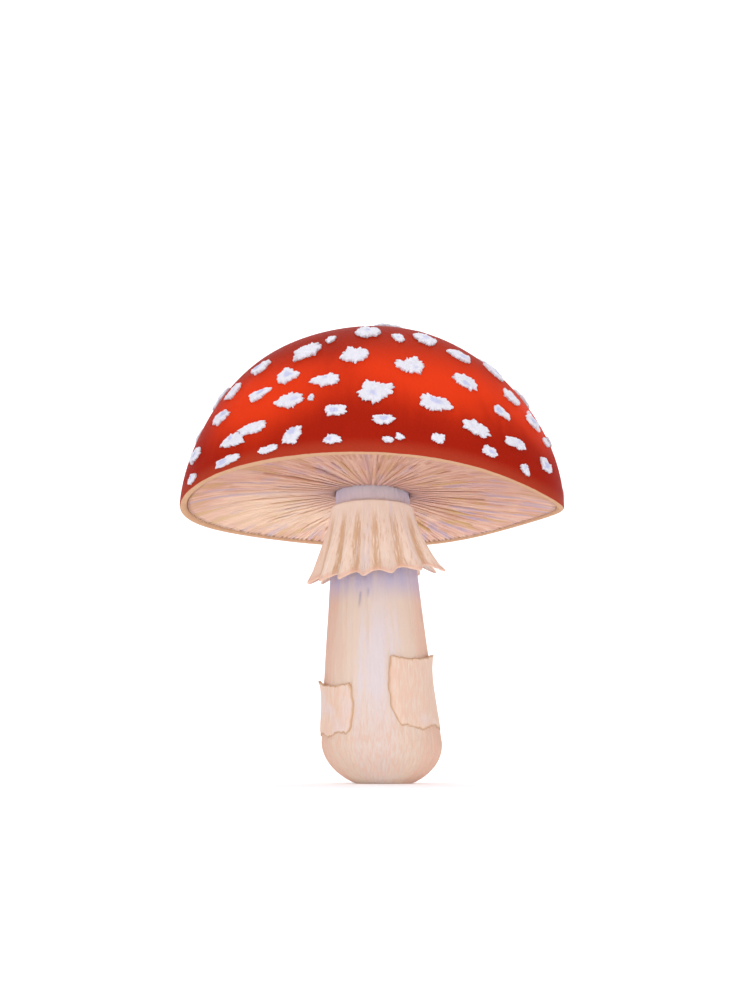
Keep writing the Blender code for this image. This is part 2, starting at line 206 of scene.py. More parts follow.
class GillSettings(bpy.types.PropertyGroup):
    """The blades under the cap."""

    long_blades: IntProperty(name="Long blades", description="Those that reach the stem", default=54, min=8)
    depth: length("Depth", "Of a long blade near the stem", 13 * MM)
    edge_rise: length("Edge rise", "Of the edges from the lip to the stem", 3.8 * MM)
    thickness: length("Thickness", "Of a blade at its edge", 0.6 * MM)
    inner: length("Inner radius", "Where the blades end beside the stem", 12.2 * MM)
    shown: length("Shown depth", "Of the valleys between the blades", 0.8 * MM)
    # Pale is also painted light in the valleys between the blades, where shade falls
    pale: colour("Pale", "Of the light streaks and the edges", (0.76, 0.51, 0.38))
    peach: colour("Peach", "Of most of the blades", (0.60, 0.32, 0.23))
    ochre: colour("Ochre", "Of some streaks", (0.58, 0.36, 0.15))
    lavender_and_painted_shade: colour("Lavender", "Of other streaks", (0.48, 0.35, 0.43))
    pink: colour("Pink", "Of broad patches", (0.66, 0.37, 0.32))
    # Cream is the colour of a painted highlight on the gills
    cream: colour("Cream", "Of the lightest patch", (0.88, 0.70, 0.52))
    # Deep is painted shade on the front half of the underside
    painted_shade: colour("Deep", "Near the margin in front", (0.50, 0.24, 0.17))


class StemSettings(bpy.types.PropertyGroup):
    """The stem, its foot and the flaps of veil on it."""

    top_radius: length("Top radius", "Inside the cap", 11.0 * MM)
    foot_radius: length("Foot radius", "Where the foot is widest", 18.3 * MM)
    foot_bulge: length("Foot bulge", "Height of the widest part", 12 * MM)
    flat_radius: length("Flat radius", "Of the spot that it stands on", 8.5 * MM)
    taper: FloatProperty(name="Taper", description="How the stem narrows", default=1.25)
    lean: length("Lean", "Sideways, by the cap's widest circle", -3.6 * MM)
    bow: length("Bow", "Sideways, half way up to there", -0.6 * MM)
    cream: colour("Cream", "Of most of the stem", (0.80, 0.64, 0.52))
    # Light is the colour of a painted highlight down the front and back of the stem, and on the ring
    light: colour("Light", "Of the pale streak down the front and back", (0.76, 0.70, 0.75))
    # Blush is painted shade on the two sides of the stem, and also the foot's own pinker tone
    blush_and_side_shade: colour("Blush", "Of the two sides", (0.78, 0.46, 0.33))
    ochre: colour("Ochre", "Of the flaps' edges", (0.58, 0.34, 0.16))
    # Lavender on the stem is painted shadow under the ring and under the gills, and painted shade in the
    # splits
    lavender_and_painted_shade: colour("Lavender", "Below the ring and the gills", (0.50, 0.46, 0.68))


class RingSettings(bpy.types.PropertyGroup):
    """The pleated skirt."""

    top: length("Top", "Height of the upper edge", 84.5 * MM)
    hem: length("Hem", "Height of the hem", 64.0 * MM)
    flare: length("Flare", "How far the hem stands off the stem", 4.2 * MM)
    lean: length("Lean", "How much further the hem stands off at the right", 1.6 * MM)
    thickness: length("Thickness", "Of the membrane", 1.0 * MM)
    pleats: IntProperty(name="Pleats", description="Folds round the skirt", default=15, min=3)
    pleat_turn: angle("Pleat turn", "Of one outer fold", -6)
    pleat_depth: length("Pleat depth", "At the hem", 1.7 * MM)
    hem_wave: length("Hem wave", "How far each fold hangs below the next valley", 1.0 * MM)
    hem_front: length("Hem in front", "How much lower it hangs in front", 3.0 * MM)
    hem_left: length("Hem at the left", "How much lower it hangs at the left", 2.1 * MM)
    cream: colour("Cream", "Of the folds", (0.92, 0.78, 0.66))
    # Valley is painted shade in the valleys between the folds
    valley: colour("Valley", "Between the folds", (0.66, 0.42, 0.23))
    # Shine is the colour of painted highlight on thin streaks
    painted_shine: colour("Shine", "Of thin light streaks", (0.97, 0.87, 0.76))
    # Hem blush is the hem's own tone, and also painted shade on the two sides of the skirt
    hem_tint_and_side_shade: colour("Hem blush", "Of the hem", (0.80, 0.50, 0.36))


class StageSettings(bpy.types.PropertyGroup):
    """The floor, the lights and the camera."""

    camera_side: length("Camera side", "To the right of the foot", -2.7 * MM)
    camera_distance: length("Camera distance", "In front of the foot", 320.5 * MM)
    camera_height: length("Camera height", "Above the floor", 5 * MM)
    camera_pitch: angle("Camera pitch", "How far the camera looks up", 14.53)
    lens: FloatProperty(name="Lens", description="Focal length in millimetres", default=36.98)
    floor: colour("Floor", "Of the sweep", (0.93, 0.93, 0.94))


class MushroomSettings(bpy.types.PropertyGroup):
    """All the settings of the mushroom."""

    cap: PointerProperty(type=CapSettings)
    warts: PointerProperty(type=WartSettings)
    gills: PointerProperty(type=GillSettings)
    stem: PointerProperty(type=StemSettings)
    ring: PointerProperty(type=RingSettings)
    stage: PointerProperty(type=StageSettings)


# Meshes

def lattice(points, closed_rows=False, closed_columns=True, poles=()):
    """Vertices and faces of a grid of points (rows, columns, 3).

    A face joins points (i, j), (i + 1, j), (i + 1, j + 1) and (i, j + 1). Closed rows or columns run round to
    the first again. The poles, if any, close the first row and the last with a fan of triangles each.
    """
    rows, columns = points.shape[:2]
    index = np.arange(rows * columns).reshape(rows, columns)
    if closed_rows:
        index = np.vstack([index, index[:1]])
    if closed_columns:
        index = np.hstack([index, index[:, :1]])
    here, below = index[:-1], index[1:]
    quads = np.stack([here[:, :-1], below[:, :-1], below[:, 1:], here[:, 1:]], axis=-1)
    faces = quads.reshape(-1, 4).tolist()
    vertices = points.reshape(-1, 3)
    if len(poles):
        first, last = rows * columns, rows * columns + 1
        top, bottom = index[0].tolist(), index[-1].tolist()
        faces += [(first, a, b) for a, b in zip(top, top[1:])]
        faces += [(a, last, b) for a, b in zip(bottom, bottom[1:])]
        vertices = np.vstack([vertices, poles])
    return vertices, faces


def add_object(name, data):
    """A new object of the scene, with this data."""
    added = bpy.data.objects.new(name, data)
    bpy.context.scene.collection.objects.link(added)
    return added


def make_surface(name, vertices, faces, material):
    """A smooth mesh object of one material."""
    mesh = bpy.data.meshes.new(name)
    mesh.from_pydata(vertices, [], faces)
    mesh.shade_smooth()
    mesh.materials.append(material)
    return add_object(name, mesh)


def make_piece(name, vertices, faces, material, node, marks):
    """A smooth mesh object that rides on the root body and stands for a node of the solids.

    Marks are named numbers for each vertex, which the material reads as attributes. A pole beyond the grid
    has the mark 0.
    """
    piece = make_surface(name, vertices, faces, material)
    for label, values in marks.items():
        padded = np.zeros(len(vertices), dtype=np.float32)
        padded[: values.size] = values.ravel()
        piece.data.attributes.new(label, "FLOAT", "POINT").data.foreach_set("value", padded)
    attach(piece, "root")
    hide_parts(node)


def wrapped(turn):
    """The same turns, from -pi to pi."""
    return np.angle(np.exp(1j * turn))


def turns(columns):
    """Even turns of this number of columns, once round."""
    return np.arange(columns) / columns * math.tau


def smooth(low, high, value):
    """0 at low, 1 at high, held beyond them, and the smooth cubic 3t^2 - 2t^3 between."""
    share = np.clip((value - low) / (high - low), 0, 1)
    return share * share * (3 - 2 * share)


def ripples(draw, turn, counts, along=0.0, drift=0.0):
    """Mean of cosines with these counts of waves in a full turn, whose crests drift with a second value."""
    total = 0.0
    for count in counts:
        total = total + np.cos(count * turn + draw.uniform(0, math.tau) + drift * draw.uniform(-1, 1) * along)
    return total / len(counts)


def lumps(draw, points, wavelength, count=9):
    """Mean of cosines along random directions, with wavelengths near the one given."""
    total = 0.0
    for _ in range(count):
        direction = np.array([draw.gauss(0, 1) for _ in range(3)])
        direction *= math.tau / wavelength / np.linalg.norm(direction) * draw.uniform(0.7, 1.5)
        total = total + np.cos(points @ direction + draw.uniform(0, math.tau))
    return total / count


# Shader maths

class Field:
    """A socket of a shader node, for Python expressions: each operator adds one Math node."""

    def __init__(self, socket):
        self.socket = socket

    def node(self, kind, settings=None, inputs=None, output=0):
        """Adds a node of this kind, with its settings first, then the values or links of its sockets."""
        node = self.socket.id_data.nodes.new(kind)
        for name, value in (settings or {}).items():
            setattr(node, name, value)
        for name, value in (inputs or {}).items():
            if isinstance(value, Field):
                self.socket.id_data.links.new(value.socket, node.inputs[name])
            else:
                node.inputs[name].default_value = value
        return Field(node.outputs[output])

    def maths(self, operation, *values):
        return self.node("ShaderNodeMath", {"operation": operation}, dict(enumerate(values)))

    def __add__(self, other):
        return self.maths("ADD", self, other)

    def __sub__(self, other):
        return self.maths("SUBTRACT", self, other)

    def __mul__(self, other):
        return self.maths("MULTIPLY", self, other)

    def __radd__(self, other):
        return self.maths("ADD", other, self)

    def __rsub__(self, other):
        return self.maths("SUBTRACT", other, self)

    def __rmul__(self, other):
        return self.maths("MULTIPLY", other, self)

    def between(self, low, high):
        """0 at low, 1 at high and smooth between. With low above high it falls instead."""
        inputs = {"Value": self, "From Min": low, "From Max": high}
        return self.node("ShaderNodeMapRange", {"interpolation_type": "SMOOTHSTEP"}, inputs)

    def part(self, axis):
        """The X, Y or Z part of a vector, by its number."""
        return self.node("ShaderNodeSeparateXYZ", None, {0: self}, axis)

    def moved(self, offset, scale=(1, 1, 1)):
        """A point less the offset, then stretched."""
        offset = tuple(-o * s for o, s in zip(offset, scale))
        return self.node("ShaderNodeMapping", None, {"Vector": self, "Location": offset, "Scale": scale})

    def distance(self, point):
        return self.node("ShaderNodeVectorMath", {"operation": "DISTANCE"}, {0: self, 1: point}, "Value")

    def level_direction(self, centre):
        """The level unit vector to each point from the upright axis through the centre."""
        flat = self.moved(centre, (1, 1, 0))
        return self.node("ShaderNodeVectorMath", {"operation": "NORMALIZE"}, {0: flat})

    def noise(self, scale, detail=3.0, roughness=0.5):
        """Cloudy values about 0.5 over a field of points."""
        inputs = {"Vector": self, "Scale": scale, "Detail": detail, "Roughness": roughness}
        return self.node("ShaderNodeTexNoise", None, inputs)

    def attribute(self, name):
        """Values that the mesh carries under this name."""
        return self.node("ShaderNodeAttribute", {"attribute_name": name}, None, "Fac")

    def blend(self, first, second):
        """The first colour where this field is 0, the second where it is 1."""
        first = first if isinstance(first, Field) else (*first, 1.0)
        second = second if isinstance(second, Field) else (*second, 1.0)
        return self.node("ShaderNodeMix", {"data_type": "RGBA"}, {0: self, 6: first, 7: second}, 2)


def new_material(name, **constants):
    """A material with a Principled shader. Returns it, a function that feeds its sockets, and the points."""
    material = bpy.data.materials.new(name)
    material.use_nodes = True
    tree = material.node_tree
    shader = tree.nodes["Principled BSDF"]
    for label, value in constants.items():
        shader.inputs[label.replace("_", " ")].default_value = value

    def feed(label, field):
        tree.links.new(field.socket, shader.inputs[label])

    place = Field(tree.nodes.new("ShaderNodeTexCoord").outputs["Object"])
    return material, feed, place


def round_axis(place, centre, stretch):
    """Points whose X and Y are the direction from an upright axis, and whose Z and distance run slowly.

    Noise over them makes streaks that run down the surface or out from the axis.
    """
    direction = place.level_direction(centre)
    slow = place.moved(centre, (stretch, stretch, stretch))
    return place.node("ShaderNodeVectorMath", {"operation": "ADD"}, {0: direction, 1: slow})


def bump(field, distance):
    return field.node("ShaderNodeBump", None, {"Height": field, "Distance": distance, "Strength": 1.0})


# Cap

def dome_point(cap, turn, down, lift=0.0):
    """Points on the cap, in its own frame, by turn and by angle down from the crown.

    Half an ellipsoid: radius is R sin(down) and height is H cos(down). It swells on its left shoulder and
    sinks below it, with three faint lobes round it, all moved along the outward normal.
    """
    turn, down, lift = np.broadcast_arrays(turn, down, lift)
    out, up = np.sin(down), np.cos(down)
    left = (1 - np.sin(turn)) / 2
    swell = left * np.sin(4 * (down - math.radians(12))) + 0.4 * np.sin(3 * turn + 0.5)
    lift = lift + cap.shoulder * swell * np.sin(2 * down)
    slope = np.hypot(out / cap.radius, up / cap.rise)
    radius = cap.radius * out + lift * out / cap.radius / slope
    height = cap.rise * up + lift * up / cap.rise / slope
    return np.stack([radius * np.sin(turn), -radius * np.cos(turn), height], axis=-1)


def on_stem(settings, points):
    """Points of the cap's frame with the margin waved, tilted about Y and set on the leaning stem.

    Each wave of the margin adds its height times exp(-(turn away / half breadth)^2) times (r/R)^4.
    """
    tilt = settings.cap.tilt
    x, y, z = np.moveaxis(points, -1, 0)
    turn = np.arctan2(x, -y)
    outward = (np.hypot(x, y) / settings.cap.radius) ** 4
    for middle, half_breadth, height in MARGIN_WAVES:
        away = wrapped(turn - math.radians(middle)) / math.radians(half_breadth)
        z = z + height * MM * np.exp(-(away**2)) * outward
    across = x * math.cos(tilt) + z * math.sin(tilt) + settings.stem.lean
    up = z * math.cos(tilt) - x * math.sin(tilt) + settings.cap.height
    return np.stack([across, y, up], axis=-1)


def flesh_radius(cap):
    """Radius of the flesh that the gills hang from, which ends 0.4 mm inside the lip."""
    return cap.radius - 2 * cap.lip - 0.4 * MM


def gill_edge(settings, radius):
    """Height of the gill edges: 0.3 mm plus the rise times (1 - r/R)^1.2."""
    inward = np.clip(1 - radius / flesh_radius(settings.cap), 0, 1)
    return 0.3 * MM + settings.gills.edge_rise * inward**1.2


def plate_bottom(settings, radius):
    """Height of the flesh between the gills: the edge's height plus 0.5 mm plus depth (1 - (r/R)^4)^0.8."""
    share = np.clip(radius / flesh_radius(settings.cap), 0, 1)
    return gill_edge(settings, radius) + 0.5 * MM + settings.gills.depth * (1 - share**4) ** 0.8


def cap_material(settings):
    cap = settings.cap
    material, feed, place = new_material("cap_skin", Specular_IOR_Level=0.004)
    skin = place.attribute("skin")
    down = place.attribute("down")
    centre = (settings.stem.lean, 0.0, cap.height)
    streaks = round_axis(place, centre, 6.0).noise(9.0, 5.0, 0.6)
    clouds = place.noise(38.0, 3.0, 0.55)
    # Painted highlight: the skin is lighter in a band across the middle of the dome, most at the front, and
    # round the listed spots in front
    front = 0.2 + place.distance(CAP_FRONT).between(0.086, 0.040) * 0.8
    middle = down.between(0.25, 0.62) * down.between(0.97, 0.72) * front
    glow = middle * (0.10 + clouds * 0.9) + (streaks - 0.5) * 0.35
    for spot, reach in CAP_PAINTED_HIGHLIGHTS:
        glow = glow + place.distance(spot).between(reach, 0.0) * 0.65
    # Where no painted highlight lies, the skin keeps the colour of the painted shade
    red = glow.between(0.05, 1.05).blend(cap.painted_shade, cap.bright)
    # Painted shade: the skin is darker round the crown
    red = (down.between(0.72, 0.50) * 0.7).blend(red, cap.crown)
    red = (down.between(0.955, 1.0) * 0.35).blend(red, cap.margin)
    pale = place.noise(260.0, 2.0).blend(tuple(c * 0.82 for c in cap.flesh), cap.flesh)
    edge = (skin + (streaks - 0.5) * 0.5).between(0.40, 0.60)
    feed("Base Color", edge.blend(pale, red))
    feed("Roughness", 0.70 - edge * (0.34 - clouds * 0.16))
    fibres = round_axis(place, centre, 14.0).noise(60.0, 3.0, 0.6)
    feed("Normal", bump(fibres + place.noise(700.0, 2.0) * 0.5, 0.15 * MM))
    return material


def build_cap(settings):
    """The skin of the dome, the rolled lip and the flesh under it, down to the axis."""
    cap, turn = settings.cap, turns(256)
    down = np.linspace(0.01, 1, 96)[:, None] * math.pi / 2
    draw = random.Random(11)
    dome = dome_point(cap, turn, down)
    dome = dome_point(cap, turn, down, 0.1 * MM * lumps(draw, dome, 26 * MM) * np.sin(2 * down))
    roll = np.radians(np.linspace(0, 180, 14))[1:, None]
    wave = 0.25 * MM * ripples(draw, turn, (3, 5, 8)) * np.sin(roll / 2) ** 2
    lip_radius = cap.radius - cap.lip + cap.lip * np.cos(roll) + wave
    lip_height = -cap.lip * np.sin(roll) + wave
    flesh = np.linspace(1, 0.05, 12)[:, None] * flesh_radius(cap) + 0 * turn
    flesh_height = plate_bottom(settings, flesh) + CAP_UNDERSIDE
    radius = np.vstack([lip_radius + 0 * turn, flesh])
    height = np.vstack([lip_height + 0 * turn, flesh_height])
    under = np.stack([radius * np.sin(turn), -radius * np.cos(turn), height], axis=-1)
    points = on_stem(settings, np.vstack([dome, under]))
    poles = on_stem(settings, np.array([[0, 0, cap.rise], [0, 0, flesh_height[-1, 0]]]))
    skin = np.vstack([1 + 0 * down, 1 - smooth(10, 60, np.degrees(roll)), np.zeros((len(flesh), 1))])
    share = np.vstack([down / (math.pi / 2), np.ones((len(roll) + len(flesh), 1))])
    marks = {"skin": skin + 0 * turn, "down": share + 0 * turn}
    vertices, faces = lattice(points, poles=poles)
    make_piece("cap_flesh", vertices, faces, cap_material(settings), "cap", marks)


# Warts

def dome_frame(cap, turn, down):
    """The middle of a wart, and the unit vectors to its right, towards the crown, and out of the cap."""
    middle = dome_point(cap, turn, down)
    right = np.stack([np.cos(turn), np.sin(turn), 0 * turn], axis=-1)
    out = middle / np.array([cap.radius, cap.radius, cap.rise]) ** 2
    out = out / np.linalg.norm(out, axis=-1, keepdims=True)
    return middle, right, np.cross(out, right), out


def hidden_warts(settings, draw):
    """Warts where the front view doesn't reach, each in the widest gap that several tries find."""
    cap = settings.cap
    placed = [dome_point(cap, math.radians(wart[0]), math.radians(wart[1])) for wart in FRONT_WARTS]
    found = []
    while len(found) < settings.warts.more:
        best = None
        for _ in range(WART_TRIES):
            turn = draw.uniform(-math.pi, math.pi)
            down = math.acos(draw.uniform(0.04, 1.0))
            middle, _, _, out = dome_frame(cap, turn, down)
            room = min(np.linalg.norm(middle - other) for other in placed)
            toward = FRONT_EYE - middle
            unseen = np.dot(out, toward) < -BEYOND_VIEW * np.linalg.norm(toward)
            if unseen and (best is None or room > best[0]):
                best = (room, turn, down, middle)
        _, turn, down, middle = best
        placed.append(middle)
        breadth = draw.uniform(*MORE_BREADTHS) * (1 - 0.3 * math.sin(down) ** 4)
        long = breadth * draw.uniform(0.7, 1.0) * (1 - 0.35 * math.sin(down) ** 6)
        tail = draw.choice([None, draw.uniform(-180, 180)])
        found.append((math.degrees(turn), math.degrees(down), breadth, long, tail))
    return found


def wart_outlines(warts, around, draw):
    """Radius of each wart's torn outline in metres: an ellipse with waves round it and a tail on one side."""
    outlines = []
    for _, _, breadth, long, tail in warts:
        ellipse = MM / np.hypot(np.cos(around) / (breadth / 2), np.sin(around) / (long / 2))
        waves = sum(
            draw.uniform(0.02, 0.09) * np.cos(k * around + draw.uniform(0, math.tau)) for k in (2, 3, 4, 5)
        )
        radius = ellipse * (1 + waves)
        if tail is not None:
            away = wrapped(around - math.radians(tail))
            radius = radius * (1 + 0.45 * np.exp(-((away / 0.42) ** 2)))
        outlines.append(radius)
    return np.array(outlines)


def wart_material(settings):
    warts = settings.warts
    material, feed, place = new_material("wart_veil", Roughness=0.85)
    # The hollow mark says where a wart carries painted shade
    hollow = place.attribute("hollow")
    crumbs = place.noise(900.0, 5.0, 0.65)
    patches = place.noise(240.0, 3.0, 0.6)
    # Painted shade: a lavender patch round the hollow mark on each wart
    white = (hollow + (patches - 0.5) * 1.6 + (crumbs - 0.5) * 0.5).between(0.80, 0.20)
    feed("Base Color", white.blend(warts.shade, warts.white))
    feed("Normal", bump(crumbs + place.noise(2600.0, 2.0) * 0.4, 0.5 * MM))
    return material


def build_warts(settings):
    """Every wart, as one grid each: rings from its middle out to its torn edge, then down into the skin.

    A point's distance from the middle is the outline's radius times its ring's share. Its lift is the wart's
    height, a little less in its hollow middle and much less at the edge, with crumbs on it. Beyond the edge
    it falls under the skin.
    """
    cap, size = settings.cap, settings.warts
    draw = random.Random(size.seed)
    warts = FRONT_WARTS + hidden_warts(settings, draw)
    around = turns(80)
    outline = wart_outlines(warts, around, draw)
    turn, down, breadth, long = (np.array([wart[i] for wart in warts], dtype=float) for i in range(4))
    mean = np.sqrt(breadth * long) * MM
    teeth = np.array([ripples(draw, around, (7, 9, 12, 16, 21, 26, 33)) for _ in warts])
    outline = outline * (0.97 + 0.32 * teeth)
    height = (0.5 * MM + 0.07 * mean)[:, None, None]
    share = np.array([0.10, 0.26, 0.42, 0.56, 0.69, 0.80, 0.89, 0.96, 1.0, 1.0, 0.95, 0.90])
    level = np.array([0.92, 0.94, 0.96, 1.0, 1.0, 0.97, 0.90, 0.76, 0.52, 0.22, 0.0, -1.0])
    flat = outline[:, None, :] * share[:, None]
    middle, right, crown, _ = dome_frame(cap, np.radians(turn), np.radians(down))
    across = (flat * np.cos(around))[..., None] * right[:, None, None, :]
    along = (flat * np.sin(around))[..., None] * crown[:, None, None, :]
    points = middle[:, None, None, :] + across + along
    crumb = size.crumb * (1.5 * lumps(draw, points, 2.6 * MM, 12) + 1.1 * lumps(draw, points, 1.2 * MM, 12))
    top = (level > 0.1)[:, None]
    rough = np.where(top, 2.0 * crumb * np.minimum(height / MM, 1), 0)
    lift = height * np.maximum(level, 0)[:, None] + rough
    lift = np.where(top, np.maximum(lift, 0.12 * MM), size.sink * np.minimum(level, 0)[:, None])
    unit = points / np.array([cap.radius, cap.radius, cap.rise])
    downs = np.arctan2(np.hypot(unit[..., 0], unit[..., 1]), unit[..., 2])
    placed = on_stem(settings, dome_point(cap, np.arctan2(unit[..., 0], -unit[..., 1]), downs, lift))
    vertices, faces, marks, start = [], [], [], 0
    spots = share[:, None] * np.exp(1j * around)
    for grid in placed:
        poles = np.stack([grid[0].mean(axis=0), grid[-1].mean(axis=0)])
        some, some_faces = lattice(grid[:, ::-1], poles=poles)
        vertices.append(some)
        faces += [[start + corner for corner in face] for face in some_faces]
        # Where the painted shade patch on this wart is centred
        middle_of_painted_shade = draw.uniform(0.1, 0.5) * np.exp(1j * draw.uniform(0, math.tau))
        hollow = draw.uniform(0, 1.3) * np.exp(-((np.abs(spots - middle_of_painted_shade) / 0.42) ** 2))
        marks.append(np.append(hollow[:, ::-1].ravel(), [hollow[0].mean(), 0]))
        start += len(some)
    marks = {"hollow": np.concatenate(marks)}
    make_piece("warts", np.vstack(vertices), faces, wart_material(settings), "cap", marks)


# Gills

def gill_material(settings):
    gills = settings.gills
    material, feed, place = new_material("gill_flesh", Roughness=0.72)
    crest, tint = place.attribute("crest"), place.attribute("tint")
    centre = (settings.stem.lean, 0.0, settings.cap.height)
    wide = round_axis(place, centre, 8.0).noise(5.0, 2.0, 0.5)
    narrow = round_axis(place, centre, 4.0).noise(16.0, 2.0, 0.5)
    streak = wide * 0.45 + narrow * 0.55 + (tint - 0.5) * 0.05
    body = streak.between(0.42, 0.60).blend(gills.peach, gills.pale)
    body = (streak.between(0.47, 0.38) * 0.9).blend(body, gills.ochre)
    apart = round_axis(place, centre, 5.0).moved((3.1, 1.7, 0.4))
    cool = apart.noise(10.0, 2.0, 0.5) + (tint - 0.5) * 0.04
    body = (cool.between(0.53, 0.66) * 0.85).blend(body, gills.lavender_and_painted_shade)
    body = (wide.between(0.52, 0.68) * 0.6).blend(body, gills.pink)
    # Painted highlight: the gills are lighter round one spot left of the stem
    body = (place.distance(GILL_PAINTED_HIGHLIGHT).between(46 * MM, 5 * MM) * 0.6).blend(body, gills.cream)
    # Painted shade: the front half of the underside is darker
    body = (place.part(1).between(0.0, -50 * MM) * 0.5).blend(body, gills.painted_shade)
    body = (place.distance(centre).between(32 * MM, 12 * MM) * 0.6).blend(body, gills.pink)
    # Painted light: the valleys between the blades, where shade falls, are lightened towards the pale colour
    valley = crest.between(0.5, 0.0) * 0.35
    feed("Base Color", valley.blend(body, gills.pale))
    feed("Normal", bump(round_axis(place, centre, 9.0).noise(120.0, 2.0), 0.1 * MM))
    return material


def build_gills(settings):
    """The underside in one grid, radius by turn, drawn down into blades, and the plate's top above it.

    A blade has six columns: the valley beside it, two on each flank and one on its crest. Its height is the
    valley's plus a share of the fall to the edge, and that share fades where a short blade ends. The valleys
    close well below the plate, where blades so thin and so near each other hide what is behind them. A blade
    has the room of one, two and then four, as its shorter neighbours end.
    """
    gills, cap = settings.gills, settings.cap
    draw = random.Random(23)
    blades = gills.long_blades * len(BLADE_REACHES)
    outer = cap.radius - 2 * cap.lip - 0.1 * MM
    share = np.linspace(0, 1, 34)[:, None] ** 0.9
    radius = outer + (gills.inner - outer) * share
    kind = np.arange(blades) % len(BLADE_REACHES)
    reach = np.choose(kind, BLADE_REACHES) * np.array([draw.uniform(0.8, 1.15) for _ in kind])
    pitch = math.tau / blades
    middle = (np.arange(blades) + 0.5) * pitch + pitch * np.array([draw.uniform(-0.16, 0.16) for _ in kind])
    bend = np.array([draw.uniform(-0.22, 0.22) for _ in kind]) * pitch
    middle = middle + bend * np.sin(3 * share + np.arange(blades))
    valley = (middle + np.roll(middle, 1, axis=1)) / 2
    valley[:, 0] -= math.pi
    room = math.tau * radius / blades * np.where(share < 0.3, 1, np.where(share < 0.58, 2, 4))
    half = np.minimum(gills.thickness, 0.36 * room) / 2 / radius
    steps = [-1.7, -1.0, 0.0, 1.0, 1.7]
    fall = [0.62, 0.95, 1.0, 0.95, 0.62]
    present = 1 - smooth(0.78 * reach, reach, share)
    turn = np.stack([valley] + [middle + half * step for step in steps], axis=-1)
    drop = np.stack([0 * middle] + [present * part for part in fall], axis=-1)
    turn, drop = (grid.reshape(len(share), -1) for grid in (turn, drop))
    flat = np.stack([radius * np.sin(turn), radius * np.cos(turn), 0 * turn], axis=-1)
    nick = 0.12 * MM * lumps(draw, flat, 5 * MM)
    columns = 1 + len(steps)
    uneven = np.repeat([draw.uniform(-0.25, 0.25) for _ in kind], columns) * MM
    edge = gill_edge(settings, radius) + nick + uneven * np.sin(math.pi * share)
    edge = edge - 0.8 * MM * (1 - share) ** 8
    shown = gills.shown * np.clip(radius / (42 * MM), 0, 1)
    floor = edge + np.minimum(shown, 0.4 * (plate_bottom(settings, radius) - edge))
    height = floor + (edge - floor) * drop
    lower = np.stack([radius * np.sin(turn), -radius * np.cos(turn), height], axis=-1)
    upper = lower[::-8].copy()
    upper[..., 2] = plate_bottom(settings, np.hypot(upper[..., 0], upper[..., 1])) + PLATE_THICKNESS
    points = on_stem(settings, np.vstack([lower, upper]))
    tint = np.repeat([draw.random() for _ in kind], columns) + 0 * share
    marks = {"crest": drop, "tint": tint}
    vertices, faces = lattice(points, closed_rows=True)
    make_piece("gill_blades", vertices, faces, gill_material(settings), "gills", marks)


# Stem

def stem_top(settings):
    """Height of the stem's upper end, inside the cap."""
    return settings.cap.height + plate_bottom(settings, settings.gills.inner) + 1.0 * MM - CLEARANCE


def stem_radius(settings, height):
    """Radius of the stem: the foot is part of an ellipse, and above it the stem tapers by a power law."""
    stem = settings.stem
    curve = stem.foot_bulge / math.sqrt(1 - (stem.flat_radius / stem.foot_radius) ** 2)
    foot = stem.foot_radius * np.sqrt(np.clip(1 - ((stem.foot_bulge - height) / curve) ** 2, 0, 1))
    top = stem_top(settings)
    share = np.clip((top - height) / (top - stem.foot_bulge), 0, 1)
    shaft = stem.top_radius + (stem.foot_radius - stem.top_radius) * share**stem.taper
    return np.where(height < stem.foot_bulge, foot, shaft)


def leaned(settings, radius, turn, height):
    """Points round the stem's axis, moved sideways by a lean that grows with height and by a sine bow."""
    radius, turn, height = np.broadcast_arrays(radius, turn, height)
    share = height / settings.cap.height
    lean = settings.stem.lean * share + settings.stem.bow * np.sin(math.pi * share)
    return np.stack([radius * np.sin(turn) + lean, -radius * np.cos(turn), height], axis=-1)


